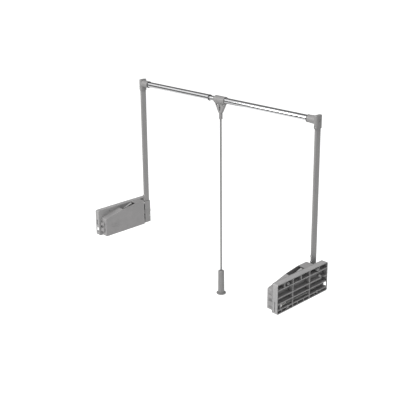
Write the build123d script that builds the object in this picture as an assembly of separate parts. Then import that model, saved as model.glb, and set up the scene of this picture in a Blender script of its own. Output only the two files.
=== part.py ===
"""Pull-down wardrobe rail: two wall housings, two swinging arms, a telescopic rail and a pull rod.

Frame: origin at the centre of the left housing's wall face, +X along the rail to the right
housing, +Y toward the side the arms swing to, +Z up.  Millimetres.
"""
import os
from math import cos, radians, sin

from build123d import *

# ---- overall sizes -------------------------------------------------------------------------
SPAN = 1094.0            # wall face to wall face
ARM_X = 47.0             # arm centre from its wall face
ARM_LENGTH = 614.0       # pivot to rail axis
SWING = 110.0            # arm travel in degrees
ROD_X = 546.0            # pull-rod centre
ROD_BOTTOM = -190.0      # underside of the pull rod, inside the grip
WIDEN = 200.0            # how far the rail can telescope out
NARROW = 18.0            # how far it can telescope in

# ---- clearances ----------------------------------------------------------------------------
RUN = 0.05               # radial running clearance
GAP = 0.35               # smallest gap between moving neighbours
SLIP = 0.1               # slip fit of fixed neighbours

# ---- housing base --------------------------------------------------------------------------
BASE_LENGTH = 293.0
BASE_HEIGHT = 118.5
BASE_DEPTH = 26.0
BASE_CORNER = 6.0
SKIN = 3.0               # outer walls of the base
WEB = 4.0                # floor that carries the mechanism
RIB = 2.4
RIB_FULL_Y = (-58.4, 38.7)
RIB_HALF_Y = (-104.8, -11.2, 93.7)
RIB_Z = (35.3, 4.5, -19.2, -43.8)
FOOT_RIB_Y = (-118.0, -88.0, -28.0, 8.0, 72.0, 108.0)
REVEAL = 1.2             # shadow groove round the rim
WALL_HOLE_R = 2.6
WALL_HOLE_Y = 85.0
WALL_HOLE_Z = 45.5
WALL_BOSS_R = 5.2
DRIVER_R = 4.6           # screwdriver access through the cheek plate
PIVOT_Y = 116.5
PORT_W = (4.0, 20.0)     # channel openings in the end walls, w then z
PORT_Z = (-42.6, -22.0)
LATCH_W = (5.0, 17.0)
LATCH_Z = (-9.0, 14.0)
CATCH_SET = 1.0
KEYWAY_W = (10.5, 13.5)
KEYWAY_Z = (-50.0, -9.0)

# ---- cover ---------------------------------------------------------------------------------
COVER_FRONT = -133.5
COVER_BACK = 90.5
COVER_BOTTOM = -57.5
COVER_NOSE_Z = 24.8
COVER_TOP = 58.8
NOTCH_FRONT = -33.5
NOTCH_BACK = 40.5
NOTCH_FRONT_Z = 48.8
COVER_OUT = 60.5
COVER_SKIN = 2.5
COVER_BOSS_Y = (-100.0, -10.0)
COVER_BOSS_Z = -2.0
COVER_BOSS_R = 3.8
LUGS = ((-7.0, 5.0), (-36.0, -20.0))
LUG_W = (28.0, 50.0)
LUG_REACH = 7.0
BADGE = ((-7.0, 55.0), (-16.0, 42.0), (-25.0, 50.0))  # bottom edge and length of each bar
BADGE_BAR = 4.5
BADGE_SET = 32.0
BADGE_RISE = 0.6

# ---- pivot and cheek plate -----------------------------------------------------------------
AXLE_R = 5.0
SHOULDER_R = 7.0
FOOT_W0 = 42.0           # arm foot, distance from the wall
FOOT_W1 = 52.0
PLATE_W0 = 52.5
PLATE = 2.0
PLATE_EDGE = 16.0        # cheek plate edge beyond the pivot
PLATE_TOP = 49.8
PLATE_BOTTOM = -55.6
PLATE_SLOT_Z = (-46.0, 41.0)
SPACER_R = 5.0
SPACER_AT = ((120.5, -46.0), (26.0, 0.0), (66.0, 44.0), (66.0, -46.0))
RIVET_R = 3.0
CLIP = 1.2
CLIP_R = 7.5
HUB_R = 20.0
BUSH_R = 6.5
POCKET = 16.0            # depth of the clip pocket from the wall side

# ---- crank pins, forks, spring and damper --------------------------------------------------
CRANK = 16.0
PIN_R = 3.5
LEAD = SWING / 2
REACH = CRANK * sin(radians(LEAD))
FORK_W0 = 31.0
FORK_W1 = 41.0
SLIDE_W = (FORK_W0 + FORK_W1) / 2
LINEAR_ERROR = 0.86      # the pin's path against an even travel
FORK_SLOT = PIN_R + LINEAR_ERROR + GAP
TINE = 3.0
FORK_NEAR = 7.0
FORK_FAR = 36.0
SLIDE_Z = 29.5
SPRING_W = 12.0          # spring axis, distance from the wall
SPRING_Z = -30.5
GUIDE_ROD_R = 4.0
GUIDE_ROD_END = -94.0
GUIDE_Y = (36.0, 46.0)
GUIDE_R = 7.0
COLLAR_Y = (28.0, 32.0)
COLLAR_R = 9.0
BRIDGE = (10.0, 9.0)     # link from the guide rod to the fork: along y, height
BRIDGE_ROOM = 1.5
SPRING_R = 7.7
WIRE_R = 1.1
SPRING_PITCH = 6.2
SEAT_Y = (-124.0, -118.0)
SEAT_R = 9.4
PILOT_R = 5.6
PILOT_END = -88.0
SEAT_WALL = 3.0
COIL_ROOM = 0.8
CYLINDER_R = 8.0
CYLINDER_SKIN = 1.5
CYLINDER_Y = (-50.0, 60.0)
GLAND = 7.0
DAMPER_ROD_R = 2.5
PISTON_Y = (-6.0, 2.0)
SADDLE_Y = (-9.0, 5.0)
SADDLE_R = 10.5
STAY = (10.0, 44.0, 3.0)
STAY_AT = (12.5, 49.3)
STAY_SLOPE = 18.5
SADDLE_SCREW_Y = (-2.0,)
SADDLE_SCREW_Z = SLIDE_Z - SADDLE_R + 2.5
SADDLE_GRIP = 4.0

# ---- stops ---------------------------------------------------------------------------------
STOP_R = 4.0
STOP_POST_R = 2.5
REST_STOP_Z = 45.0
DOWN_STOP_Y = 12.0

# ---- arms, elbows and rail -----------------------------------------------------------------
ARM_WIDTH = 30.0
ARM_THICK = 10.0
ARM_SKIN = 1.5
ARM_START = 40.0
SHANK_END = 96.0
FOOT_SCREW_Z = (58.0, 82.0)
ELBOW_WIDTH = 36.0
ELBOW_THICK = 16.0
ELBOW_DOWN = 30.0
ELBOW_UP = 20.0
SOCKET_R0 = 17.0
SOCKET_R1 = 14.5
SOCKET_END = 43.0        # socket end from the arm centre
TUBE_R = 12.5
TUBE_SKIN = 1.5
TUBE_BORE = TUBE_R - TUBE_SKIN
PLUG = 22.0
ARM_SCREW_Z = -24.0      # clamp screw under the rail axis
SCREW_R = 2.0
HEAD_R = 3.9
HEAD = 2.4

LEFT_TUBE_END = 482.0
RIGHT_TUBE_START = 576.0
INNER_R = 10.0
INNER_SKIN = 1.2
INNER_START = 244.0
INNER_END = 690.0
END_BUSH = 2.0
END_BUSH_R = 12.9
BUSH_LENGTH = 16.0

# ---- pull rod ------------------------------------------------------------------------------
SLEEVE_R = 16.0
SLEEVE_X = (517.0, 575.0)
KEEPER_R = 12.0
KEEPER = 4.0
BRACKET_TOP = -13.0      # below the rail axis
BRACKET_TIP = -54.0
SOCKET_TIP = -80.0
TIP_R = 7.6
BRACKET_DEPTH = 13.0
SLOT_TOP = -20.0
SLOT_BOTTOM = -48.0
SLOT_HALF = 4.0
BRACKET_SCREW = ((-18.0, -20.0), (18.0, -20.0))
PULL_R = 4.0
PULL_HEAD_R = 5.6
PULL_HEAD = 6.0
PULL_TOP = -63.0
GRIP_TOP = -147.0
GRIP_BOTTOM = -251.0
GRIP_R0 = 13.4
GRIP_R1 = 14.4
GRIP_DOME = 4.0
CAP_R = 21.5
CAP = 5.0
CAP_SPIGOT_R = 7.0
CAP_SPIGOT = 20.0

PIVOT_Z = 0.0
RAIL_Z = PIVOT_Z + ARM_LENGTH
PLATE_W1 = PLATE_W0 + PLATE


# ---- building helpers ----------------------------------------------------------------------
def block(x0, x1, y0, y1, z0, z1):
    return Pos((x0 + x1) / 2, (y0 + y1) / 2, (z0 + z1) / 2) * Box(x1 - x0, y1 - y0, z1 - z0)


def along_x(radius, x0, x1, y, z):
    return Pos((x0 + x1) / 2, y, z) * Rot(0, 90, 0) * Cylinder(radius, x1 - x0)


def along_y(radius, y0, y1, x, z):
    return Pos(x, (y0 + y1) / 2, z) * Rot(90, 0, 0) * Cylinder(radius, y1 - y0)


def along_z(radius, z0, z1, x, y):
    return Pos(x, y, (z0 + z1) / 2) * Cylinder(radius, z1 - z0)


def plate_yz(points, x0, x1):
    outline = Plane.YZ.offset(x0) * make_face(Polyline(*points, close=True))
    return extrude(outline, x1 - x0)


def flat_oval(width, thick, z0, z1, x, y):
    outline = Pos(x, y, z0) * Rot(0, 0, 90) * SlotOverall(width, thick)
    return extrude(outline, z1 - z0)


def screw_x(x_head, x_tip, y, z):
    """Pan-head screw with its head at x_head, pointing to x_tip."""
    turn = 1 if x_tip > x_head else -1
    head = along_x(HEAD_R, *sorted((x_head, x_head + turn * HEAD)), y, z)
    shank = along_x(SCREW_R, *sorted((x_head + turn * HEAD, x_tip)), y, z)
    slot = block(*sorted((x_head, x_head + turn * HEAD / 2)), y - 0.5, y + 0.5, z - 3, z + 3)
    return head + shank - slot


def screw_y(y_head, y_tip, x, z):
    turn = 1 if y_tip > y_head else -1
    head = along_y(HEAD_R, *sorted((y_head, y_head + turn * HEAD)), x, z)
    shank = along_y(SCREW_R, *sorted((y_head + turn * HEAD, y_tip)), x, z)
    slot = block(x - 0.5, x + 0.5, *sorted((y_head, y_head + turn * HEAD / 2)), z - 3, z + 3)
    return head + shank - slot


# ---- housing base: ribbed moulding open to the wall ----------------------------------------
def make_base():
    half = BASE_LENGTH / 2
    tall = BASE_HEIGHT / 2
    floor = BASE_DEPTH - WEB
    outer = extrude(Plane.YZ * RectangleRounded(BASE_LENGTH, BASE_HEIGHT, BASE_CORNER), BASE_DEPTH)
    inner = RectangleRounded(BASE_LENGTH - 2 * SKIN, BASE_HEIGHT - 2 * SKIN, BASE_CORNER - SKIN)
    base = outer - extrude(Plane.YZ * inner, floor)
    for y in RIB_FULL_Y:
        base += block(0, floor, y - RIB / 2, y + RIB / 2, -tall + SKIN, tall - SKIN)
    for z in RIB_Z:
        base += block(0, floor, -half + SKIN, half - SKIN, z - RIB / 2, z + RIB / 2)
    for y in RIB_HALF_Y:
        base += block(0, floor, y - RIB / 2, y + RIB / 2, RIB_Z[0], tall - SKIN)
    for y in FOOT_RIB_Y:
        base += block(SKIN, floor, y - RIB / 2, y + RIB / 2, -tall + SKIN, RIB_Z[-1])
    for y in (-WALL_HOLE_Y, WALL_HOLE_Y):
        for z in (-WALL_HOLE_Z, WALL_HOLE_Z):
            base += along_x(WALL_BOSS_R, 0, floor + 1, y, z)
            base -= along_x(WALL_HOLE_R, -1, BASE_DEPTH + 1, y, z)
    # pivot boss with a pocket for the clip
    base += along_x(BUSH_R + 5, POCKET, floor + 1, PIVOT_Y, PIVOT_Z)
    base -= along_x(CLIP_R + 1, -1, POCKET, PIVOT_Y, PIVOT_Z)
    base -= along_x(AXLE_R, -1, BASE_DEPTH + 1, PIVOT_Y, PIVOT_Z)
    # spring channel: wall behind the seat, clear bore through the rib, guide for the rod
    base += block(RIB, floor, SEAT_Y[0] - SEAT_WALL, SEAT_Y[0], RIB_Z[3], RIB_Z[2])
    base -= along_y(SPRING_R + WIRE_R + COIL_ROOM, RIB_FULL_Y[0] - RIB, RIB_FULL_Y[0] + RIB,
                    SPRING_W, SPRING_Z)
    base += along_y(GUIDE_R, *GUIDE_Y, SPRING_W, SPRING_Z)
    base -= along_y(GUIDE_ROD_R + RUN, GUIDE_Y[0] - 1, GUIDE_Y[1] + 1, SPRING_W, SPRING_Z)
    # slot that lets the fork's bridge through the web
    reach = BRIDGE[0] / 2 + BRIDGE_ROOM
    rise = BRIDGE[1] / 2 + BRIDGE_ROOM
    base -= block(floor - 1, BASE_DEPTH + 1, PIVOT_Y - REACH - reach, PIVOT_Y + REACH + reach,
                  SPRING_Z - rise, SPRING_Z + rise)
    # channel opening in the back end wall
    base -= block(*PORT_W, half - SKIN - 1, half + 1, *PORT_Z)
    # shadow groove under the rim, between base and cover
    rim = outer - extrude(
        Plane.YZ * RectangleRounded(BASE_LENGTH - 2 * REVEAL, BASE_HEIGHT - 2 * REVEAL,
                                    BASE_CORNER - REVEAL), BASE_DEPTH)
    base -= rim & block(BASE_DEPTH - 3.2, BASE_DEPTH - 2, -half - 1, half + 1, -tall - 1, tall + 1)
    # rivet and screw holes
    for y, z in SPACER_AT:
        base -= along_x(RIVET_R, floor - 1, BASE_DEPTH + 1, y, z)
    for y in COVER_BOSS_Y:
        base -= along_x(SCREW_R + SLIP, floor - 1, BASE_DEPTH + 1, y, COVER_BOSS_Z)
    for y in SADDLE_SCREW_Y:
        base -= along_x(SCREW_R + SLIP, floor - 1, BASE_DEPTH + 1, y, SADDLE_SCREW_Z)
    return base


def make_left_base():
    """Left base: channel opening and a latch slot with its catch wall in the front end wall."""
    front = -BASE_LENGTH / 2
    base = make_base() - block(*PORT_W, front - 1, front + SKIN + 1, *PORT_Z)
    base -= block(*LATCH_W, front - 1, front + SKIN + 0.5, *LATCH_Z)
    catch = front + SKIN + CATCH_SET
    return base + block(0, BASE_DEPTH - WEB, catch, catch + RIB, LATCH_Z[0] - SKIN,
                        LATCH_Z[1] + SKIN)


def make_right_base():
    """Right base, as its mirror image: a narrow keyway in the front end wall."""
    front = -BASE_LENGTH / 2
    return make_base() - block(*KEYWAY_W, front - 1, front + SKIN + 0.5, *KEYWAY_Z)


def stop_points():
    """Rest stop behind the arm, down stop under the lowered arm."""
    side = ARM_WIDTH / 2 + STOP_R + GAP
    rest = (PIVOT_Y - side, PIVOT_Z + REST_STOP_Z)
    lean = radians(SWING)
    along = (DOWN_STOP_Y + side * -cos(lean)) / sin(lean)
    down = (PIVOT_Y + DOWN_STOP_Y, PIVOT_Z + along * cos(lean) - side * sin(lean))
    return rest, down


# ---- cover: one moulded shell, notched on top ----------------------------------------------
def cover_outline(inset):
    slope_rise = (COVER_TOP - NOTCH_FRONT_Z) / (NOTCH_BACK - NOTCH_FRONT)
    nose_rise = (NOTCH_FRONT_Z - COVER_NOSE_Z) / (NOTCH_FRONT - COVER_FRONT)
    nose = COVER_NOSE_Z + nose_rise * inset
    return [(COVER_FRONT + inset, COVER_BOTTOM + inset),
            (COVER_BACK, COVER_BOTTOM + inset),
            (COVER_BACK, COVER_TOP - inset),
            (NOTCH_BACK, COVER_TOP - inset),
            (NOTCH_FRONT, COVER_TOP - slope_rise * (NOTCH_BACK - NOTCH_FRONT) - inset),
            (COVER_FRONT + inset, nose - inset)]


def make_cover():
    cover = plate_yz(cover_outline(0), BASE_DEPTH, COVER_OUT)
    cover = fillet(cover.edges().filter_by(Axis.X).group_by(Axis.Y)[0], 4)
    cover = chamfer(cover.faces().sort_by(Axis.X)[-1].edges().filter_by(Axis.Z, reverse=True), 1)
    cover -= plate_yz(cover_outline(COVER_SKIN), BASE_DEPTH - 1, COVER_OUT - COVER_SKIN)
    cover -= block(BASE_DEPTH - 1, COVER_OUT - COVER_SKIN, COVER_BACK - 1, COVER_BACK + 1,
                   COVER_BOTTOM + COVER_SKIN, COVER_TOP - COVER_SKIN)
    cover -= block(BASE_DEPTH - 1, COVER_OUT - COVER_SKIN, NOTCH_FRONT, NOTCH_BACK,
                   SLIDE_Z, COVER_TOP + 1)
    for y in COVER_BOSS_Y:
        cover += along_x(COVER_BOSS_R, BASE_DEPTH, COVER_OUT - COVER_SKIN + 1, y, COVER_BOSS_Z)
        cover -= along_x(SCREW_R, BASE_DEPTH - 1, BASE_DEPTH + 12, y, COVER_BOSS_Z)
    for low, high in LUGS:
        cover += block(*LUG_W, COVER_FRONT - LUG_REACH, COVER_FRONT + 1, low, high)
    # plain raised badge of three bars
    start = COVER_FRONT + BADGE_SET
    for z, length in BADGE:
        cover += block(COVER_OUT - 1, COVER_OUT + BADGE_RISE, start, start + length, z, z + BADGE_BAR)
    return cover


# ---- cheek plate, spacers, axle ------------------------------------------------------------
def make_cheek_plate():
    step = COVER_BACK + 1.5
    low = COVER_BOTTOM + COVER_SKIN + GAP
    edge = PIVOT_Y + PLATE_EDGE
    points = [(56, low), (step, low), (step, PLATE_BOTTOM), (edge, PLATE_BOTTOM),
              (edge, PLATE_TOP), (56, PLATE_TOP), (42, 12), (14, 12), (14, -12), (42, -12)]
    plate = plate_yz(points, PLATE_W0, PLATE_W1)
    plate -= along_x(AXLE_R, PLATE_W0 - 1, PLATE_W1 + 1, PIVOT_Y, PIVOT_Z)
    for y, z in SPACER_AT:
        plate -= along_x(RIVET_R, PLATE_W0 - 1, PLATE_W1 + 1, y, z)
    plate -= block(PLATE_W0 - 1, PLATE_W1 + 1, COVER_BACK + 1, PIVOT_Y - PLATE_EDGE - 0.5,
                   *PLATE_SLOT_Z)
    for y, z in stop_points():
        plate -= along_x(STOP_POST_R, PLATE_W0 - 1, PLATE_W1 + 1, y, z)
    for z in (-WALL_HOLE_Z, WALL_HOLE_Z):
        plate -= along_x(DRIVER_R, PLATE_W0 - 1, PLATE_W1 + 1, WALL_HOLE_Y, z)
    return plate


def make_spacers():
    spacers = []
    for y, z in SPACER_AT:
        spacer = along_x(SPACER_R, BASE_DEPTH, PLATE_W0, y, z)
        spacer += along_x(RIVET_R, BASE_DEPTH - WEB, PLATE_W1, y, z)
        spacer += along_x(SPACER_R - 1, PLATE_W1, PLATE_W1 + 0.8, y, z)
        spacers.append(spacer)
    return spacers


def make_axle():
    axle = along_x(AXLE_R, POCKET - 2 * CLIP, PLATE_W1, PIVOT_Y, PIVOT_Z)
    axle += along_x(SHOULDER_R, BASE_DEPTH, FOOT_W0 - GAP, PIVOT_Y, PIVOT_Z)
    axle += along_x(AXLE_R + 1.8, PLATE_W1, PLATE_W1 + 1, PIVOT_Y, PIVOT_Z)
    groove = along_x(AXLE_R + 1, POCKET - CLIP, POCKET, PIVOT_Y, PIVOT_Z)
    axle -= groove - along_x(AXLE_R - 1, POCKET - CLIP, POCKET, PIVOT_Y, PIVOT_Z)
    return axle


def make_axle_clip():
    clip = along_x(CLIP_R, POCKET - CLIP, POCKET, PIVOT_Y, PIVOT_Z)
    clip -= along_x(AXLE_R - 1, 0, POCKET + 1, PIVOT_Y, PIVOT_Z)
    clip -= block(0, POCKET + 1, PIVOT_Y - 3, PIVOT_Y + 3, PIVOT_Z - 2 * CLIP_R, PIVOT_Z)
    return clip


def make_stop_posts():
    return [along_x(STOP_POST_R, FOOT_W0, PLATE_W1, y, z) for y, z in stop_points()]


def make_stop_rubbers():
    sleeves = []
    for y, z in stop_points():
        sleeve = along_x(STOP_R, FOOT_W0, PLATE_W0, y, z)
        sleeves.append(sleeve - along_x(STOP_POST_R, FOOT_W0 - 1, PLATE_W0 + 1, y, z))
    return sleeves


def make_cover_screws():
    head = BASE_DEPTH - WEB - HEAD
    screws = [screw_x(head, BASE_DEPTH + 11, y, COVER_BOSS_Z) for y in COVER_BOSS_Y]
    screws += [screw_x(head, BASE_DEPTH + SADDLE_GRIP, y, SADDLE_SCREW_Z) for y in SADDLE_SCREW_Y]
    return screws


# ---- spring side ---------------------------------------------------------------------------
def make_spring_slider():
    centre = PIVOT_Y + REACH
    side = FORK_SLOT + TINE
    fork = block(FORK_W0, FORK_W1, centre - side, centre + side, -FORK_FAR, -FORK_NEAR)
    fork -= along_x(FORK_SLOT, FORK_W0 - 1, FORK_W1 + 1, centre, -CRANK)
    fork -= block(FORK_W0 - 1, FORK_W1 + 1, centre - FORK_SLOT, centre + FORK_SLOT, -CRANK, 0)
    rod = along_y(GUIDE_ROD_R, GUIDE_ROD_END, centre, SPRING_W, SPRING_Z)
    collar = along_y(COLLAR_R, *COLLAR_Y, SPRING_W, SPRING_Z)
    half, rise = BRIDGE[0] / 2, BRIDGE[1] / 2
    bridge = block(SPRING_W - GUIDE_ROD_R, FORK_W0 + 1, centre - half, centre + half,
                   SPRING_Z - rise, SPRING_Z + rise)
    return fork + rod + collar + bridge


def make_spring():
    length = COLLAR_Y[0] - SEAT_Y[1]
    height = length - 2 * WIRE_R
    path = Helix(SPRING_PITCH, height, SPRING_R)
    section = Plane(path @ 0, z_dir=path % 0) * Circle(WIRE_R)
    coil = sweep(section, path)
    return Pos(SPRING_W, COLLAR_Y[0] - WIRE_R, SPRING_Z) * Rot(90, 0, 0) * coil


def make_spring_seat():
    seat = along_y(SEAT_R, *SEAT_Y, SPRING_W, SPRING_Z)
    seat += along_y(PILOT_R, SEAT_Y[1], PILOT_END, SPRING_W, SPRING_Z)
    return seat - along_y(GUIDE_ROD_R + RUN, SEAT_Y[0] - 1, PILOT_END + 1, SPRING_W, SPRING_Z)


# ---- damper side ---------------------------------------------------------------------------
def make_damper_rod():
    centre = PIVOT_Y - REACH
    side = FORK_SLOT + TINE
    fork = block(FORK_W0, FORK_W1, centre - side, centre + side, FORK_NEAR, FORK_FAR)
    fork -= along_x(FORK_SLOT, FORK_W0 - 1, FORK_W1 + 1, centre, CRANK)
    fork -= block(FORK_W0 - 1, FORK_W1 + 1, centre - FORK_SLOT, centre + FORK_SLOT, 0, CRANK)
    rod = along_y(DAMPER_ROD_R, PISTON_Y[0], centre - side + 1, SLIDE_W, SLIDE_Z)
    piston = along_y(CYLINDER_R - CYLINDER_SKIN - RUN, *PISTON_Y, SLIDE_W, SLIDE_Z)
    return fork + rod + piston


def make_damper_cylinder():
    front, back = CYLINDER_Y
    body = along_y(CYLINDER_R, front, back, SLIDE_W, SLIDE_Z)
    body -= along_y(CYLINDER_R - CYLINDER_SKIN, front + 3, back - GLAND, SLIDE_W, SLIDE_Z)
    body -= along_y(DAMPER_ROD_R + RUN, back - GLAND - 1, back + 1, SLIDE_W, SLIDE_Z)
    groove = along_y(CYLINDER_R + 1, back - 10, back - 8.5, SLIDE_W, SLIDE_Z)
    return body - (groove - along_y(CYLINDER_R - 0.7, back - 11, back - 8, SLIDE_W, SLIDE_Z))


def make_damper_saddle():
    y0, y1 = SADDLE_Y
    saddle = along_y(SADDLE_R, y0, y1, SLIDE_W, SLIDE_Z)
    saddle += block(BASE_DEPTH, SLIDE_W, y0, y1, SLIDE_Z - SADDLE_R, SLIDE_Z + SADDLE_R)
    stay = Pos(SLIDE_W, *STAY_AT) * Rot(STAY_SLOPE, 0, 0) * Box(*STAY)
    post = block(SLIDE_W - 5, SLIDE_W + 5, y0 + 3, y1 - 3, SLIDE_Z + 6, SLIDE_Z + SADDLE_R + 6)
    saddle += stay + post
    saddle -= block(0, BASE_DEPTH, y0 - 1, y1 + 1, 0, COVER_TOP)
    saddle -= along_y(CYLINDER_R, y0 - 20, y1 + 20, SLIDE_W, SLIDE_Z)
    for y in SADDLE_SCREW_Y:
        saddle -= along_x(SCREW_R, BASE_DEPTH - 1, BASE_DEPTH + SADDLE_GRIP, y, SADDLE_SCREW_Z)
    return saddle


# ---- arm foot, arm, elbow ------------------------------------------------------------------
def make_arm_foot():
    foot = along_x(HUB_R, FOOT_W0, FOOT_W1, PIVOT_Y, PIVOT_Z)
    neck = ARM_WIDTH / 2
    foot += block(FOOT_W0, FOOT_W1, PIVOT_Y - neck, PIVOT_Y + neck, PIVOT_Z, ARM_START)
    inner = 2 * (ARM_SKIN + SLIP)
    foot += flat_oval(ARM_WIDTH - inner, ARM_THICK - inner, ARM_START, SHANK_END, ARM_X, PIVOT_Y)
    foot -= along_x(BUSH_R, FOOT_W0 - 1, FOOT_W1 + 1, PIVOT_Y, PIVOT_Z)
    lead = radians(LEAD)
    for turn in (-1, 1):
        y = PIVOT_Y - turn * CRANK * sin(lead)
        foot += along_x(PIN_R, FORK_W0 - 0.5, FOOT_W0 + 1, y, PIVOT_Z + turn * CRANK * cos(lead))
    for z in FOOT_SCREW_Z:
        foot -= along_y(SCREW_R, PIVOT_Y - neck, PIVOT_Y - neck + 12, ARM_X, z)
    return foot


def make_foot_bush():
    bush = along_x(BUSH_R, FOOT_W0, FOOT_W1, PIVOT_Y, PIVOT_Z)
    return bush - along_x(AXLE_R + RUN, FOOT_W0 - 1, FOOT_W1 + 1, PIVOT_Y, PIVOT_Z)


def make_arm_tube():
    top = RAIL_Z - TUBE_R - 3
    tube = flat_oval(ARM_WIDTH, ARM_THICK, ARM_START, top, ARM_X, PIVOT_Y)
    hollow = 2 * ARM_SKIN
    tube -= flat_oval(ARM_WIDTH - hollow, ARM_THICK - hollow, ARM_START - 1, top + 1,
                      ARM_X, PIVOT_Y)
    face = PIVOT_Y - ARM_WIDTH / 2
    for z in FOOT_SCREW_Z + (RAIL_Z + ARM_SCREW_Z,):
        tube -= along_y(SCREW_R, face - 1, face + ARM_SKIN + 3, ARM_X, z)
    return tube


def make_elbow():
    low = RAIL_Z - ELBOW_DOWN
    shell = flat_oval(ELBOW_WIDTH, ELBOW_THICK, low, RAIL_Z + ELBOW_UP, ARM_X, PIVOT_Y)
    shell = fillet(shell.faces().sort_by(Axis.Z)[-1].edges(), 3)
    socket = Pos(ARM_X + SOCKET_END / 2, PIVOT_Y, RAIL_Z) * Rot(0, 90, 0)
    shell += socket * Cone(SOCKET_R0, SOCKET_R1, SOCKET_END)
    shell -= flat_oval(ARM_WIDTH, ARM_THICK, low - 1, RAIL_Z - TUBE_R - 3, ARM_X, PIVOT_Y)
    shell -= along_x(TUBE_R, ARM_X - 2, ARM_X + SOCKET_END + 1, PIVOT_Y, RAIL_Z)
    outer = ARM_X - ELBOW_THICK / 2
    shell -= along_x(HEAD_R + 0.4, outer - 1, outer + HEAD + 0.4, PIVOT_Y, RAIL_Z)
    shell -= along_x(SCREW_R, outer, ARM_X, PIVOT_Y, RAIL_Z)
    face = PIVOT_Y - ELBOW_WIDTH / 2
    z = RAIL_Z + ARM_SCREW_Z
    shell -= along_y(HEAD_R + 0.2, face - 1, face + HEAD - 1, ARM_X, z)
    shell -= along_y(SCREW_R, face - 1, face + 6, ARM_X, z)
    return shell


def make_rail_plug():
    plug = along_x(TUBE_BORE, ARM_X - 2, ARM_X - 2 + PLUG, PIVOT_Y, RAIL_Z)
    return plug - along_x(SCREW_R, ARM_X - 3, ARM_X - 2 + PLUG - 4, PIVOT_Y, RAIL_Z)


def make_elbow_screw():
    outer = ARM_X - ELBOW_THICK / 2
    return screw_x(outer + 0.4, ARM_X + 12, PIVOT_Y, RAIL_Z)


def make_arm_screws():
    face = PIVOT_Y - ARM_WIDTH / 2
    screws = [screw_y(face - HEAD, face + 10, ARM_X, z) for z in FOOT_SCREW_Z]
    elbow_face = PIVOT_Y - ELBOW_WIDTH / 2
    screws.append(screw_y(elbow_face - 1, elbow_face + 8, ARM_X, RAIL_Z + ARM_SCREW_Z))
    return screws


# ---- rail ----------------------------------------------------------------------------------
def make_rail_tube(x0, x1):
    tube = along_x(TUBE_R, x0, x1, PIVOT_Y, RAIL_Z)
    return tube - along_x(TUBE_BORE, x0 - 1, x1 + 1, PIVOT_Y, RAIL_Z)


def make_end_bush(x_end, turn, bore):
    """Flanged bush closing the end of an outer tube; turn is the way the tube runs."""
    bush = along_x(END_BUSH_R, *sorted((x_end, x_end - turn * END_BUSH)), PIVOT_Y, RAIL_Z)
    bush += along_x(TUBE_BORE, *sorted((x_end, x_end + turn * BUSH_LENGTH)), PIVOT_Y, RAIL_Z)
    return bush - along_x(bore, x_end - 2 * BUSH_LENGTH, x_end + 2 * BUSH_LENGTH, PIVOT_Y, RAIL_Z)


def make_inner_tube():
    tube = along_x(INNER_R, INNER_START, INNER_END, PIVOT_Y, RAIL_Z)
    return tube - along_x(INNER_R - INNER_SKIN, INNER_START - 1, INNER_END + 1, PIVOT_Y, RAIL_Z)


def make_inner_ring(x0, x1, outer):
    ring = along_x(outer, x0, x1, PIVOT_Y, RAIL_Z)
    return ring - along_x(INNER_R, x0 - 1, x1 + 1, PIVOT_Y, RAIL_Z)


# ---- pull rod and its bracket --------------------------------------------------------------
def make_bracket():
    x0, x1 = SLEEVE_X
    sleeve = along_x(SLEEVE_R, x0, x1, PIVOT_Y, RAIL_Z)
    sleeve = chamfer(sleeve.edges().filter_by(GeomType.CIRCLE), 1)
    points = [(x0, RAIL_Z + BRACKET_TOP), (x1, RAIL_Z + BRACKET_TOP),
              (ROD_X + TIP_R, RAIL_Z + BRACKET_TIP), (ROD_X - TIP_R, RAIL_Z + BRACKET_TIP)]
    outline = make_face(Polyline(*points, close=True))
    wedge = extrude(Plane.XZ.offset(-PIVOT_Y) * outline, BRACKET_DEPTH / 2, both=True)
    body = sleeve + wedge + along_z(TIP_R, RAIL_Z + SOCKET_TIP, RAIL_Z + BRACKET_TIP + 12,
                                    ROD_X, PIVOT_Y)
    slot_mid = RAIL_Z + (SLOT_TOP + SLOT_BOTTOM) / 2
    lens_r = ((SLOT_TOP - SLOT_BOTTOM) ** 2 / 4 + SLOT_HALF ** 2) / (2 * SLOT_HALF)
    lens = along_y(lens_r, PIVOT_Y - 20, PIVOT_Y + 20, ROD_X - lens_r + SLOT_HALF, slot_mid)
    lens &= along_y(lens_r, PIVOT_Y - 20, PIVOT_Y + 20, ROD_X + lens_r - SLOT_HALF, slot_mid)
    body -= lens
    body -= along_x(INNER_R + RUN, x0 - 1, x1 + 1, PIVOT_Y, RAIL_Z)
    middle = (x0 + x1) / 2
    body -= along_x(KEEPER_R + GAP, middle - KEEPER / 2 - GAP, middle + KEEPER / 2 + GAP,
                    PIVOT_Y, RAIL_Z)
    body -= along_z(PULL_R, RAIL_Z + SOCKET_TIP - 1, RAIL_Z + PULL_TOP, ROD_X, PIVOT_Y)
    body -= along_z(PULL_HEAD_R, RAIL_Z + PULL_TOP - PULL_HEAD, RAIL_Z + PULL_TOP, ROD_X, PIVOT_Y)
    for dx, dz in BRACKET_SCREW:
        front = PIVOT_Y - BRACKET_DEPTH / 2
        body -= along_y(HEAD_R + 0.2, front - 9, front + HEAD, ROD_X + dx, RAIL_Z + dz)
        body -= along_y(SCREW_R, front - 1, front + BRACKET_DEPTH - 2, ROD_X + dx, RAIL_Z + dz)
    return body


def bracket_half(turn):
    reach = 60
    near, far = sorted((PIVOT_Y, PIVOT_Y + turn * reach))
    keep = block(ROD_X - reach, ROD_X + reach, near, far, RAIL_Z - 2 * reach, RAIL_Z + reach)
    return make_bracket() & keep


def make_bracket_screws():
    front = PIVOT_Y - BRACKET_DEPTH / 2
    return [screw_y(front, front + BRACKET_DEPTH - 2, ROD_X + dx, RAIL_Z + dz)
            for dx, dz in BRACKET_SCREW]


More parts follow.
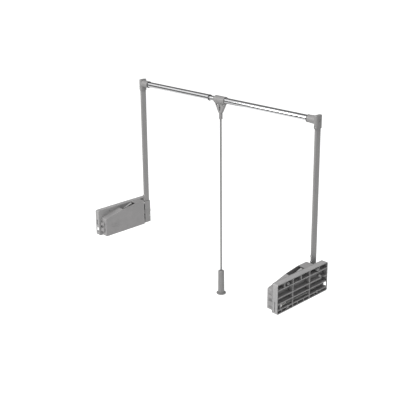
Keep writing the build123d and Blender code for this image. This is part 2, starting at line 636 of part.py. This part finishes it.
def make_pull_rod():
    rod = along_z(PULL_R, ROD_BOTTOM, RAIL_Z + PULL_TOP, ROD_X, PIVOT_Y)
    head = along_z(PULL_HEAD_R, RAIL_Z + PULL_TOP - PULL_HEAD, RAIL_Z + PULL_TOP, ROD_X, PIVOT_Y)
    return rod + head


def make_grip():
    tall = GRIP_TOP - GRIP_BOTTOM
    grip = Pos(ROD_X, PIVOT_Y, (GRIP_TOP + GRIP_BOTTOM) / 2) * Cone(GRIP_R1, GRIP_R0, tall)
    grip = fillet(grip.faces().sort_by(Axis.Z)[-1].edges(), GRIP_DOME)
    grip -= along_z(PULL_R, ROD_BOTTOM, GRIP_TOP + 1, ROD_X, PIVOT_Y)
    return grip - along_z(CAP_SPIGOT_R, GRIP_BOTTOM - 1, GRIP_BOTTOM + CAP_SPIGOT, ROD_X, PIVOT_Y)


def make_grip_cap():
    disc = along_z(CAP_R, GRIP_BOTTOM - CAP, GRIP_BOTTOM, ROD_X, PIVOT_Y)
    disc = fillet(disc.edges().filter_by(GeomType.CIRCLE), 1.5)
    return disc + along_z(CAP_SPIGOT_R, GRIP_BOTTOM, GRIP_BOTTOM + CAP_SPIGOT, ROD_X, PIVOT_Y)


# ---- writing the parts ---------------------------------------------------------------------
os.makedirs("parts", exist_ok=True)


def write(name, shapes):
    solids = []
    for shape in shapes if isinstance(shapes, (list, tuple)) else [shapes]:
        solids += list(shape.solids())
    whole = solids[0] if len(solids) == 1 else Compound(children=solids)
    export_step(whole, f"parts/{name}.step")


def other_wall(shapes):
    """Mirrored onto the right wall."""
    group = shapes if isinstance(shapes, (list, tuple)) else [shapes]
    return [Pos(SPAN, 0, 0) * mirror(shape, Plane.YZ) for shape in group]


PAIRED = {
    "cover": make_cover,
    "cheek_plate": make_cheek_plate,
    "spacers": make_spacers,
    "axle": make_axle,
    "axle_clip": make_axle_clip,
    "stop_posts": make_stop_posts,
    "stop_rubbers": make_stop_rubbers,
    "cover_screws": make_cover_screws,
    "spring_slider": make_spring_slider,
    "spring": make_spring,
    "spring_seat": make_spring_seat,
    "damper_rod": make_damper_rod,
    "damper_cylinder": make_damper_cylinder,
    "damper_saddle": make_damper_saddle,
    "arm_foot": make_arm_foot,
    "foot_bush": make_foot_bush,
    "arm_tube": make_arm_tube,
    "elbow": make_elbow,
    "rail_plug": make_rail_plug,
    "elbow_screw": make_elbow_screw,
    "arm_screws": make_arm_screws,
}

for pair_name, maker in PAIRED.items():
    pair = maker()
    write(f"left_{pair_name}", pair)
    write(f"right_{pair_name}", other_wall(pair))

write("left_base", make_left_base())
write("right_base", other_wall(make_right_base()))

write("left_rail_tube", make_rail_tube(ARM_X - 2, LEFT_TUBE_END))
write("right_rail_tube", make_rail_tube(RIGHT_TUBE_START, SPAN - ARM_X + 2))
write("left_tube_bush", make_end_bush(LEFT_TUBE_END, -1, INNER_R + RUN))
write("inner_tube", make_inner_tube())
write("inner_tube_bush",
      make_inner_ring(INNER_START + 2, INNER_START + 2 + BUSH_LENGTH, TUBE_BORE - RUN))
write("right_tube_ferrule",
      make_inner_ring(RIGHT_TUBE_START + 1, RIGHT_TUBE_START + 1 + 2 * BUSH_LENGTH, TUBE_BORE))
middle_x = sum(SLEEVE_X) / 2
write("rod_keeper", make_inner_ring(middle_x - KEEPER / 2, middle_x + KEEPER / 2, KEEPER_R))
write("bracket_front", bracket_half(-1))
write("bracket_back", bracket_half(1))
write("bracket_screws", make_bracket_screws())
write("pull_rod", make_pull_rod())
write("grip", make_grip())
write("grip_cap", make_grip_cap())
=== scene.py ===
import math

import bpy
from mathutils import Matrix, Vector


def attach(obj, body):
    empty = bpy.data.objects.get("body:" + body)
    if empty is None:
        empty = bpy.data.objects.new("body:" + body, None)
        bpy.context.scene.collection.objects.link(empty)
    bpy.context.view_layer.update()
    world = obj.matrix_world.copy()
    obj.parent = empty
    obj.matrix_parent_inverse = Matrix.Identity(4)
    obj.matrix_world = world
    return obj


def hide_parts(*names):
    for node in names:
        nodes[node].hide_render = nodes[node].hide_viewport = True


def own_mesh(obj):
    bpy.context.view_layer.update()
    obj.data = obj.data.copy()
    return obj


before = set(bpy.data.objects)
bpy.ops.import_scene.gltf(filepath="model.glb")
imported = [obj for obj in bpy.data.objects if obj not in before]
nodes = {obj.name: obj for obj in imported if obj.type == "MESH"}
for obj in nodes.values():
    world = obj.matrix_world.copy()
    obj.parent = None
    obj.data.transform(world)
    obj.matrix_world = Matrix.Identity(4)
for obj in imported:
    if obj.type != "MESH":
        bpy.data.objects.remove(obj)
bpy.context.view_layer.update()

SPAN = 1.094             # wall face to wall face
ARM_IN = 0.047           # arm centre from its wall face
PIVOT_Y = 0.1165
RAIL_Z = 0.614
ROD_X = 0.546

scene = bpy.context.scene

# ---- Camera ---------------------------------------------------------------------------------
# Stands at the front right, above the rail, so both housings show:
# the left one from its inner side, the right one from its ribbed wall side.
camera_data = bpy.data.cameras.new("catalogue_camera")
camera_data.lens = 70.28
camera_data.sensor_width = 36.0
camera_data.shift_y = -0.12
camera_data.clip_end = 50.0
camera = bpy.data.objects.new("catalogue_camera", camera_data)
camera.location = (2.7583, -2.0983, 1.3043)
camera.rotation_euler = [math.radians(a) for a in (73.749, 0.573, 46.393)]
scene.collection.objects.link(camera)
scene.camera = camera

# ---- Floor and studio light -----------------------------------------------------------------
# A pale floor well under the hanging grip, a white sky dimmed for diffuse light, and soft boxes.
# Dark and grey sheets that only glossy rays see give the polished rail its bands.
scene.view_settings.view_transform = "Standard"
scene.view_settings.look = "None"
studio = bpy.data.worlds.new("studio")
scene.world = studio
studio.use_nodes = True
sky = studio.node_tree.nodes["Background"]
sky.inputs["Color"].default_value = (1.0, 1.0, 1.0, 1.0)
sky.inputs["Strength"].default_value = 1.0
rays = studio.node_tree.nodes.new("ShaderNodeLightPath")
dimmed = studio.node_tree.nodes.new("ShaderNodeMapRange")
dimmed.inputs["To Min"].default_value = 1.0
dimmed.inputs["To Max"].default_value = 0.62
studio.node_tree.links.new(rays.outputs["Is Diffuse Ray"], dimmed.inputs["Value"])
studio.node_tree.links.new(dimmed.outputs["Result"], sky.inputs["Strength"])


def stage_plane(name, centre, size, turn, colour, seen):
    """A flat sheet of the studio: the floor, or a sheet that only glossy rays see."""
    mesh = bpy.data.meshes.new(name)
    w, d = size[0] / 2, size[1] / 2
    place = Matrix.Translation(centre) @ turn.to_4x4()
    corners = [place @ Vector(c) for c in ((-w, -d, 0), (w, -d, 0), (w, d, 0), (-w, d, 0))]
    mesh.from_pydata(corners, [], [(0, 1, 2, 3)])
    sheet = bpy.data.objects.new(name, mesh)
    scene.collection.objects.link(sheet)
    paint = bpy.data.materials.new(name)
    paint.use_nodes = True
    shader = paint.node_tree.nodes["Principled BSDF"]
    shader.inputs["Base Color"].default_value = (*colour, 1.0)
    shader.inputs["Roughness"].default_value = 0.9
    mesh.materials.append(paint)
    if not seen:
        sheet.visible_camera = False
        sheet.visible_diffuse = False
        sheet.visible_shadow = False
    return sheet


FLOOR_Z = -0.75
FLAT = Matrix.Identity(3)
UPRIGHT = Matrix.Rotation(math.pi / 2, 3, "X")
floor = stage_plane("floor", (0.5, 1.0, FLOOR_Z), (60.0, 60.0), FLAT, (0.5, 0.5, 0.5), True)
floor_shader = floor.data.materials[0].node_tree.nodes["Principled BSDF"]
floor_shader.inputs["Emission Color"].default_value = (1.0, 1.0, 1.0, 1.0)
floor_shader.inputs["Emission Strength"].default_value = 0.75
stage_plane("front_flag", (0.5, -1.5, 0.60), (7.4, 1.40), UPRIGHT, (0.10, 0.10, 0.10), False)
stage_plane("back_flag", (0.5, 1.0, 1.30), (8.2, 2.9), Matrix.Rotation(-0.50, 3, "X"),
            (0.09, 0.09, 0.09), False)
stage_plane("rear_flag", (0.5, 2.1, 0.55), (7.4, 1.2), UPRIGHT, (0.12, 0.12, 0.12), False)
stage_plane("under_sheet", (-2.2, -2.4, -0.7), (6.0, 4.1), FLAT, (0.45, 0.45, 0.45), False)


def soft_box(name, place, target, size, power):
    """A square soft light aimed at a point."""
    data = bpy.data.lights.new(name, "AREA")
    data.shape = "RECTANGLE"
    data.size, data.size_y = size
    data.energy = power
    lamp = bpy.data.objects.new(name, data)
    lamp.location = place
    aim = Vector(target) - Vector(place)
    lamp.rotation_euler = aim.to_track_quat("-Z", "Y").to_euler()
    scene.collection.objects.link(lamp)
    return lamp


soft_box("key_box", (1.4, -2.0, 3.6), (0.6, 0.0, 0.1), (1.0, 1.0), 150)
soft_box("side_box", (-1.2, -3.0, 1.8), (0.5, 0.0, 0.3), (1.8, 1.8), 85)


# ---- Housing bases --------------------------------------------------------------------------
# Ribbed backs of the two housings, injection moulded in grey glass-filled nylon.  They screw
# flat to the wardrobe sides; the open rib side faces the panel.
def finish_nodes(name, colour, metallic, roughness):
    """A new finish with its shader and Object coordinates."""
    material = bpy.data.materials.new(name)
    material.use_nodes = True
    tree = material.node_tree
    shader = tree.nodes["Principled BSDF"]
    shader.inputs["Base Color"].default_value = (*colour, 1.0)
    shader.inputs["Metallic"].default_value = metallic
    shader.inputs["Roughness"].default_value = roughness
    coords = tree.nodes.new("ShaderNodeTexCoord")
    return material, tree, shader, coords.outputs["Object"]


def noise(tree, where, scale, detail=3.0, stretch=None):
    """Noise on Object coordinates, stretched along an axis where a finish is drawn or brushed."""
    if stretch:
        mapping = tree.nodes.new("ShaderNodeMapping")
        mapping.inputs["Scale"].default_value = stretch
        tree.links.new(where, mapping.inputs["Vector"])
        where = mapping.outputs["Vector"]
    texture = tree.nodes.new("ShaderNodeTexNoise")
    texture.inputs["Scale"].default_value = scale
    texture.inputs["Detail"].default_value = detail
    tree.links.new(where, texture.inputs["Vector"])
    return texture.outputs["Fac"]


def tint(tree, shader, factor, dark, light):
    """Colour wanders between two close shades."""
    ramp = tree.nodes.new("ShaderNodeValToRGB")
    ramp.color_ramp.elements[0].position = 0.3
    ramp.color_ramp.elements[1].position = 0.7
    ramp.color_ramp.elements[0].color = (*dark, 1.0)
    ramp.color_ramp.elements[1].color = (*light, 1.0)
    tree.links.new(factor, ramp.inputs["Fac"])
    tree.links.new(ramp.outputs["Color"], shader.inputs["Base Color"])
    return ramp


def gloss(tree, shader, factor, low, high):
    """Roughness wanders between two values."""
    spread = tree.nodes.new("ShaderNodeMapRange")
    spread.inputs["To Min"].default_value = low
    spread.inputs["To Max"].default_value = high
    tree.links.new(factor, spread.inputs["Value"])
    tree.links.new(spread.outputs["Result"], shader.inputs["Roughness"])


def relief(tree, shader, factor, height, edge=0.0):
    """Surface relief in metres, over edges eased by a small radius."""
    bump = tree.nodes.new("ShaderNodeBump")
    bump.inputs["Strength"].default_value = 1.0
    bump.inputs["Distance"].default_value = height
    tree.links.new(factor, bump.inputs["Height"])
    if edge:
        bevel = tree.nodes.new("ShaderNodeBevel")
        bevel.samples = 4
        bevel.inputs["Radius"].default_value = edge
        tree.links.new(bevel.outputs["Normal"], bump.inputs["Normal"])
    tree.links.new(bump.outputs["Normal"], shader.inputs["Normal"])


def moulded_plastic(name, dark, light, rough, edge):
    material, tree, shader, where = finish_nodes(name, light, 0.0, rough)
    tint(tree, shader, noise(tree, where, 28.0, 5.0), dark, light)
    gloss(tree, shader, noise(tree, where, 60.0), rough - 0.05, rough + 0.06)
    relief(tree, shader, noise(tree, where, 1500.0, 2.0), 0.00004, edge)
    shader.inputs["Specular IOR Level"].default_value = 0.4
    return material


def repaint(node, material):
    nodes[node].data.materials.clear()
    nodes[node].data.materials.append(material)


base_plastic = moulded_plastic("moulded_base_grey", (0.212, 0.211, 0.211), (0.248, 0.244, 0.244),
                               0.55, 0.0005)
for side in ("left", "right"):
    repaint(f"{side}_base", base_plastic)

# ---- Covers ---------------------------------------------------------------------------------
# One-piece moulded covers over the dampers, satin grey, held from the wall side by two screws.
# A plain three-bar badge stands on the outer face.
cover_plastic = moulded_plastic("moulded_cover_grey", (0.189, 0.186, 0.186), (0.211, 0.206, 0.206),
                                0.45, 0.0006)
for side in ("left", "right"):
    repaint(f"{side}_cover", cover_plastic)


# ---- Cheek plates and arms ------------------------------------------------------------------
# Pressed steel cheek plates with their axles and spacers, and flat-oval steel arms, powder
# coated in the same grey.
def powder_coat(name, dark, light, rough):
    material, tree, shader, where = finish_nodes(name, light, 0.0, rough)
    tint(tree, shader, noise(tree, where, 14.0, 4.0), dark, light)
    gloss(tree, shader, noise(tree, where, 90.0), rough - 0.04, rough + 0.05)
    relief(tree, shader, noise(tree, where, 900.0, 2.0), 0.00006, 0.0004)
    shader.inputs["Coat Weight"].default_value = 0.15
    shader.inputs["Coat Roughness"].default_value = 0.3
    return material


grey_coat = powder_coat("grey_powder_coat", (0.171, 0.168, 0.167), (0.188, 0.185, 0.184), 0.38)
for side in ("left", "right"):
    for part in ("cheek_plate", "arm_tube", "spacers", "axle"):
        repaint(f"{side}_{part}", grey_coat)

# ---- Elbows, rod bracket and grip -----------------------------------------------------------
# Moulded fittings in satin grey that carry the rail, and the pull rod's bracket and grip.
fitting_plastic = moulded_plastic("moulded_fitting_grey", (0.160, 0.157, 0.156),
                                  (0.178, 0.176, 0.175), 0.42, 0.0006)
for node in ("left_elbow", "right_elbow", "bracket_front", "bracket_back", "grip", "grip_cap"):
    repaint(node, fitting_plastic)


# ---- Rail -----------------------------------------------------------------------------------
# Two 25 mm steel tubes in bright chrome and the thinner satin tube that slides inside them, all
# drawn steel, so faint lines run along them.
def polished_chrome(name):
    material, tree, shader, where = finish_nodes(name, (0.80, 0.80, 0.81), 1.0, 0.07)
    drawn = noise(tree, where, 240.0, 2.0, (0.02, 1.0, 1.0))
    tint(tree, shader, noise(tree, where, 9.0, 4.0), (0.76, 0.765, 0.775), (0.83, 0.83, 0.835))
    gloss(tree, shader, drawn, 0.05, 0.12)
    relief(tree, shader, drawn, 0.000004)
    return material


chrome = polished_chrome("bright_chrome")
for node in ("left_rail_tube", "right_rail_tube"):
    repaint(node, chrome)
satin, satin_tree, satin_shader, satin_where = finish_nodes("satin_inner_tube",
                                                            (0.5, 0.5, 0.5), 1.0, 0.32)
drawn_lines = noise(satin_tree, satin_where, 260.0, 2.0, (0.02, 1.0, 1.0))
tint(satin_tree, satin_shader, drawn_lines, (0.44, 0.44, 0.445), (0.54, 0.54, 0.54))
gloss(satin_tree, satin_shader, drawn_lines, 0.28, 0.38)
relief(satin_tree, satin_shader, drawn_lines, 0.000006)
repaint("inner_tube", satin)


# ---- Steel works of the housings ------------------------------------------------------------
# Clips, posts, damper rods, arm feet, the keeper and the screws: zinc plated steel.
def zinc_plate(name):
    material, tree, shader, where = finish_nodes(name, (0.55, 0.55, 0.55), 1.0, 0.35)
    tint(tree, shader, noise(tree, where, 70.0, 5.0), (0.44, 0.445, 0.46), (0.60, 0.60, 0.58))
    gloss(tree, shader, noise(tree, where, 160.0), 0.28, 0.45)
    relief(tree, shader, noise(tree, where, 1200.0, 2.0), 0.00002, 0.0003)
    return material


zinc = zinc_plate("zinc_plated_steel")
for side in ("left", "right"):
    for part in ("axle_clip", "stop_posts", "damper_rod", "arm_foot"):
        repaint(f"{side}_{part}", zinc)
repaint("rod_keeper", zinc)

# Spring forks and their rods are oiled dark; so is the spring wire, a little lighter.
def oiled_steel(name, dark, light, rough):
    material, tree, shader, where = finish_nodes(name, light, 0.85, rough)
    tint(tree, shader, noise(tree, where, 55.0, 5.0), dark, light)
    gloss(tree, shader, noise(tree, where, 180.0), rough - 0.05, rough + 0.1)
    relief(tree, shader, noise(tree, where, 1100.0, 2.0), 0.00002)
    return material


fork_steel = oiled_steel("oiled_fork_steel", (0.07, 0.07, 0.072), (0.12, 0.118, 0.115), 0.45)
spring_steel = oiled_steel("oiled_spring_wire", (0.20, 0.205, 0.20), (0.30, 0.30, 0.29), 0.4)
for side in ("left", "right"):
    repaint(f"{side}_spring_slider", fork_steel)

# ---- Plain plastics and rubber --------------------------------------------------------------
# Dark bushes, plugs and damper bodies, pale acetal seats and bushes, black rubber stops.  The damper
# saddles are moulded like the bases.
# The dark bush plastic also paints the shade ring in the gap at each rail socket.
dark_plastic_and_gap_shade = moulded_plastic("dark_bush_plastic_and_gap_shade", (0.03, 0.03, 0.032), (0.05, 0.05, 0.052),
                               0.4, 0.0003)
pale_plastic = moulded_plastic("pale_acetal", (0.56, 0.55, 0.53), (0.62, 0.61, 0.59), 0.35,
                               0.0003)
stop_rubber = moulded_plastic("black_stop_rubber", (0.02, 0.02, 0.02), (0.035, 0.034, 0.033),
                              0.75, 0.0003)
for side in ("left", "right"):
    repaint(f"{side}_rail_plug", dark_plastic_and_gap_shade)
    repaint(f"{side}_damper_cylinder", dark_plastic_and_gap_shade)
    repaint(f"{side}_spring_seat", pale_plastic)
    repaint(f"{side}_damper_saddle", base_plastic)
    repaint(f"{side}_foot_bush", pale_plastic)
    repaint(f"{side}_stop_rubbers", stop_rubber)
repaint("left_tube_bush", dark_plastic_and_gap_shade)
repaint("right_tube_ferrule", dark_plastic_and_gap_shade)
repaint("inner_tube_bush", pale_plastic)

# ---- Pull rod -------------------------------------------------------------------------------
# An 8 mm steel rod, grey coated, that hangs from the bracket into the grip.
rod_coat = powder_coat("grey_rod_coat", (0.124, 0.124, 0.124), (0.144, 0.144, 0.144), 0.33)
repaint("pull_rod", rod_coat)


# ---- Counterbalance springs ------------------------------------------------------------------
# A compression spring in each base's lower channel, wound from round steel wire with closed
# ends.  In the lift it shortens along its axis as the arms come down; here it is built once at one
# length.
def new_tree(name, sizes):
    """A Geometry Nodes tree with a geometry socket each way and one named float per size."""
    tree = bpy.data.node_groups.new(name, "GeometryNodeTree")
    tree.interface.new_socket("Geometry", in_out="INPUT", socket_type="NodeSocketGeometry")
    for label, value in sizes.items():
        socket = tree.interface.new_socket(label, in_out="INPUT", socket_type="NodeSocketFloat")
        socket.default_value = value
    tree.interface.new_socket("Finish", in_out="INPUT", socket_type="NodeSocketMaterial")
    tree.interface.new_socket("Geometry", in_out="OUTPUT", socket_type="NodeSocketGeometry")
    return tree, tree.nodes.new("NodeGroupInput"), tree.nodes.new("NodeGroupOutput")


def add_node(tree, kind, links=(), **settings):
    """A node with its properties set and its inputs either linked or given a value."""
    node = tree.nodes.new(kind)
    for label, value in settings.items():
        setattr(node, label, value)
    for label, value in links:
        if isinstance(value, bpy.types.NodeSocket):
            tree.links.new(value, node.inputs[label])
        else:
            node.inputs[label].default_value = value
    return node


def finish_tree(tree, given, result, shape):
    """Ends a tree: instances made real, finish set."""
    real = add_node(tree, "GeometryNodeRealizeInstances", [("Geometry", shape)])
    dressed = add_node(tree, "GeometryNodeSetMaterial", [("Geometry", real.outputs[0]),
                                                         ("Material", given.outputs["Finish"])])
    tree.links.new(dressed.outputs[0], result.inputs[0])


def grow(name, source, tree, sizes, finish):
    """The tree's result on a source mesh, as a plain mesh object at the origin."""
    seed = bpy.data.objects.new(name, source)
    scene.collection.objects.link(seed)
    modifier = seed.modifiers.new(name, "NODES")
    modifier.node_group = tree
    for item in tree.interface.items_tree:
        if item.in_out == "INPUT" and item.name in sizes:
            modifier[item.identifier] = float(sizes[item.name])
        if item.in_out == "INPUT" and item.name == "Finish":
            modifier[item.identifier] = finish
    bpy.context.view_layer.update()
    ready = seed.evaluated_get(bpy.context.evaluated_depsgraph_get())
    mesh = bpy.data.meshes.new_from_object(ready)
    mesh.name = name
    seed.modifiers.remove(modifier)
    seed.data = mesh
    return seed


CLOSED_PITCH = 2.1       # rise of a closed turn, in wire radii
coil_tree, given, result = new_tree("coil_spring", {
    "Length": 0.146, "Coil radius": 0.0077, "Wire radius": 0.0011, "Turns": 25.0,
    "Closed share": 0.06})
closed_rise = add_node(coil_tree, "ShaderNodeMath", [
    (0, given.outputs["Wire radius"]), (1, CLOSED_PITCH)], operation="MULTIPLY")
closed_height = add_node(coil_tree, "ShaderNodeMath", [
    (0, closed_rise.outputs[0]), (1, given.outputs["Turns"])], operation="MULTIPLY")
helix = add_node(coil_tree, "GeometryNodeCurveSpiral", [
    ("Resolution", 28), ("Rotations", given.outputs["Turns"]),
    ("Start Radius", given.outputs["Coil radius"]),
    ("End Radius", given.outputs["Coil radius"]), ("Height", closed_height.outputs[0])])
wire_width = add_node(coil_tree, "ShaderNodeMath", [
    (0, given.outputs["Wire radius"]), (1, 2.0)], operation="MULTIPLY")
free_height = add_node(coil_tree, "ShaderNodeMath", [
    (0, given.outputs["Length"]), (1, wire_width.outputs[0])], operation="SUBTRACT")
open_height = add_node(coil_tree, "ShaderNodeMath", [
    (0, free_height.outputs[0]), (1, closed_height.outputs[0])], operation="SUBTRACT")
along = add_node(coil_tree, "GeometryNodeSplineParameter")
far_share = add_node(coil_tree, "ShaderNodeMath", [
    (0, 1.0), (1, given.outputs["Closed share"])], operation="SUBTRACT")
spread = add_node(coil_tree, "ShaderNodeMapRange", [
    ("Value", along.outputs["Factor"]), ("From Min", given.outputs["Closed share"]),
    ("From Max", far_share.outputs[0]), ("To Max", open_height.outputs[0])])
lift = add_node(coil_tree, "ShaderNodeCombineXYZ", [("Z", spread.outputs["Result"])])
opened = add_node(coil_tree, "GeometryNodeSetPosition", [
    ("Geometry", helix.outputs[0]), ("Offset", lift.outputs[0])])
wire_ring = add_node(coil_tree, "GeometryNodeCurvePrimitiveCircle", [
    ("Resolution", 10), ("Radius", given.outputs["Wire radius"])])
wire = add_node(coil_tree, "GeometryNodeCurveToMesh", [
    ("Curve", opened.outputs[0]), ("Profile Curve", wire_ring.outputs[0]), ("Fill Caps", True)])
smooth = add_node(coil_tree, "GeometryNodeSetShadeSmooth", [("Geometry", wire.outputs[0])])
finish_tree(coil_tree, given, result, smooth.outputs[0])

SPRING_FRONT, SPRING_BACK = -0.118, 0.028
SPRING_W, SPRING_Z = 0.012, -0.0305
WIRE_R = 0.0011
for side, axis_x in (("left", SPRING_W), ("right", SPAN - SPRING_W)):
    coil = grow(f"{side}_coil_spring", bpy.data.meshes.new(f"{side}_coil_spring"), coil_tree,
                {"Length": SPRING_BACK - SPRING_FRONT, "Wire radius": WIRE_R}, spring_steel)
    seat = Matrix.Translation((axis_x, SPRING_FRONT + WIRE_R, SPRING_Z))
    coil.data.transform(seat @ Matrix.Rotation(-math.pi / 2, 4, "X"))
    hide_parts(f"{side}_spring")
    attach(coil, f"{side}_housing")
    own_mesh(coil)

# ---- Screws ----------------------------------------------------------------------------------
# Pan-head screws with a cross recess: arms into their feet, elbows onto arms and rail, bracket
# halves together, covers and damper saddles from the wall side.
HEAD = 0.0024
CROWN = 0.74             # crown radius, in head radii
RECESS_LENGTH, RECESS_DEPTH = 4.2, 2.4   # in recess widths
screw_tree, given, result = new_tree("cross_screws", {
    "Head radius": 0.0039, "Head height": HEAD, "Shank radius": 0.002, "Shank length": 0.01,
    "Recess": 0.0011, "Aim X": 0.0, "Aim Y": 1.0, "Aim Z": 0.0})
crown_radius = add_node(screw_tree, "ShaderNodeMath", [
    (0, given.outputs["Head radius"]), (1, CROWN)], operation="MULTIPLY")
head = add_node(screw_tree, "GeometryNodeMeshCone", [
    ("Vertices", 40), ("Side Segments", 3), ("Radius Top", crown_radius.outputs[0]),
    ("Radius Bottom", given.outputs["Head radius"]), ("Depth", given.outputs["Head height"])])
turned = add_node(screw_tree, "GeometryNodeTransform", [
    ("Geometry", head.outputs["Mesh"]), ("Rotation", (math.pi, 0.0, 0.0))])
head_top = add_node(screw_tree, "ShaderNodeCombineXYZ", [("Z", given.outputs["Head height"])])
seated = add_node(screw_tree, "GeometryNodeTransform", [
    ("Geometry", turned.outputs[0]), ("Translation", head_top.outputs[0])])
slot_length = add_node(screw_tree, "ShaderNodeMath", [
    (0, given.outputs["Recess"]), (1, RECESS_LENGTH)], operation="MULTIPLY")
slot_depth = add_node(screw_tree, "ShaderNodeMath", [
    (0, given.outputs["Recess"]), (1, RECESS_DEPTH)], operation="MULTIPLY")
slot_size = add_node(screw_tree, "ShaderNodeCombineXYZ", [
    ("X", slot_length.outputs[0]), ("Y", given.outputs["Recess"]),
    ("Z", slot_depth.outputs[0])])
bar = add_node(screw_tree, "GeometryNodeMeshCube", [("Size", slot_size.outputs[0])])
cross_bar = add_node(screw_tree, "GeometryNodeTransform", [
    ("Geometry", bar.outputs[0]), ("Rotation", (0.0, 0.0, math.pi / 2))])
recessed = add_node(screw_tree, "GeometryNodeMeshBoolean", [("Mesh 1", seated.outputs[0])],
                    operation="DIFFERENCE")
screw_tree.links.new(bar.outputs[0], recessed.inputs["Mesh 2"])
screw_tree.links.new(cross_bar.outputs[0], recessed.inputs["Mesh 2"])
shank = add_node(screw_tree, "GeometryNodeMeshCylinder", [
    ("Vertices", 20), ("Radius", given.outputs["Shank radius"]),
    ("Depth", given.outputs["Shank length"])])
half_shank = add_node(screw_tree, "ShaderNodeMath", [
    (0, given.outputs["Shank length"]), (1, 0.5)], operation="MULTIPLY")
shank_middle = add_node(screw_tree, "ShaderNodeMath", [
    (0, given.outputs["Head height"]), (1, half_shank.outputs[0])], operation="ADD")
shank_place = add_node(screw_tree, "ShaderNodeCombineXYZ", [("Z", shank_middle.outputs[0])])
sunk = add_node(screw_tree, "GeometryNodeTransform", [
    ("Geometry", shank.outputs["Mesh"]), ("Translation", shank_place.outputs[0])])
screw = add_node(screw_tree, "GeometryNodeJoinGeometry")
screw_tree.links.new(sunk.outputs[0], screw.inputs[0])
screw_tree.links.new(recessed.outputs[0], screw.inputs[0])
aim = add_node(screw_tree, "ShaderNodeCombineXYZ", [
    ("X", given.outputs["Aim X"]), ("Y", given.outputs["Aim Y"]), ("Z", given.outputs["Aim Z"])])
heading = add_node(screw_tree, "FunctionNodeAlignRotationToVector", [
    ("Vector", aim.outputs[0])], axis="Z")
placed = add_node(screw_tree, "GeometryNodeInstanceOnPoints", [
    ("Points", given.outputs["Geometry"]), ("Instance", screw.outputs[0]),
    ("Rotation", heading.outputs[0])])
finish_tree(screw_tree, given, result, placed.outputs[0])


def drive(name, points, aim_at, shank_length, body, *replaced):
    """Screws with their heads' outer faces at the points, replacing CAD screws."""
    source = bpy.data.meshes.new(name)
    source.from_pydata(points, [], [])
    sizes = {"Shank length": shank_length, "Aim X": aim_at[0], "Aim Y": aim_at[1],
             "Aim Z": aim_at[2]}
    made = grow(name, source, screw_tree, sizes, zinc)
    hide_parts(*replaced)
    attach(made, body)
    return made


ARM_FACE_Y, ELBOW_FACE_Y, BRACKET_FACE_Y = 0.1015, 0.0985, 0.110
ARM_SHANK, RAIL_SHANK, HOUSING_SHANK, BRACKET_SHANK = 0.0075, 0.017, 0.0079, 0.0085
ELBOW_PROUD = 0.001      # how far the elbow's screw head stands out
FOOT_SCREW_Z = (0.058, 0.082)
ELBOW_SCREW_Z = RAIL_Z - 0.024
ELBOW_HEAD_IN = 0.0394   # rail screw's head from its wall face
HOUSING_HEAD_IN = 0.0196
HOUSING_SCREWS = ((-0.100, -0.002), (-0.010, -0.002), (-0.002, 0.0215))
for side, body, wall_x, inward in (("left", "left_frame", 0.0, 1),
                                   ("right", "right_frame", SPAN, -1)):
    arm_x = wall_x + inward * ARM_IN
    foot_points = [(arm_x, ARM_FACE_Y - HEAD, z) for z in FOOT_SCREW_Z]
    elbow_point = (arm_x, ELBOW_FACE_Y - ELBOW_PROUD, ELBOW_SCREW_Z)
    drive(f"{side}_foot_screws", foot_points + [elbow_point],
          (0, 1, 0), ARM_SHANK, body, f"{side}_arm_screws")
    drive(f"{side}_rail_screw", [(wall_x + inward * ELBOW_HEAD_IN, PIVOT_Y, RAIL_Z)],
          (inward, 0, 0), RAIL_SHANK, body, f"{side}_elbow_screw")
    drive(f"{side}_housing_screws",
          [(wall_x + inward * HOUSING_HEAD_IN, y, z) for y, z in HOUSING_SCREWS],
          (inward, 0, 0), HOUSING_SHANK, f"{side}_housing", f"{side}_cover_screws")

# ---- Painted shade rings at the sockets ------------------------------------------------------
# A thin dark ring of painted shade, in the dark bush plastic, stands for the shadowed gap where each
# rail tube enters its elbow.
gap_shade_tree, given, result = new_tree("socket_gap_shade", {"Radius": 0.0133, "Wall": 0.0013,
                                                      "Width": 0.0035})
gap_shade_path = add_node(gap_shade_tree, "GeometryNodeCurvePrimitiveCircle", [
    ("Resolution", 72), ("Radius", given.outputs["Radius"])])
gap_shade_section = add_node(gap_shade_tree, "GeometryNodeCurvePrimitiveQuadrilateral", [
    ("Width", given.outputs["Width"]), ("Height", given.outputs["Wall"])])
gap_shade_band = add_node(gap_shade_tree, "GeometryNodeCurveToMesh", [
    ("Curve", gap_shade_path.outputs[0]), ("Profile Curve", gap_shade_section.outputs[0])])
across = add_node(gap_shade_tree, "GeometryNodeTransform", [
    ("Geometry", gap_shade_band.outputs[0]), ("Rotation", (0.0, math.pi / 2, 0.0))])
gap_shade_places = add_node(gap_shade_tree, "GeometryNodeInstanceOnPoints", [
    ("Points", given.outputs["Geometry"]), ("Instance", across.outputs[0])])
finish_tree(gap_shade_tree, given, result, gap_shade_places.outputs[0])
GAP_SHADE_IN = 0.092         # centre of the painted shade ring from its wall face
for side, body, x in (("left", "left_frame", GAP_SHADE_IN),
                      ("right", "right_frame", SPAN - GAP_SHADE_IN)):
    # Each ring is dark bush plastic, painted as the shadow in the gap at the socket mouth.
    spot = bpy.data.meshes.new(f"{side}_socket_gap_shade")
    spot.from_pydata([(x, PIVOT_Y, RAIL_Z)], [], [])
    ring = grow(f"{side}_socket_gap_shade", spot, gap_shade_tree, {}, dark_plastic_and_gap_shade)
    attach(ring, body)

BRACKET_SCREW_Z = RAIL_Z - 0.020
BRACKET_REACH = 0.018    # each screw from the rod's centre
drive("bracket_cross_screws",
      [(ROD_X + reach, BRACKET_FACE_Y, BRACKET_SCREW_Z) for reach in (-BRACKET_REACH, BRACKET_REACH)],
      (0, 1, 0), BRACKET_SHANK, "pull_handle", "bracket_screws")
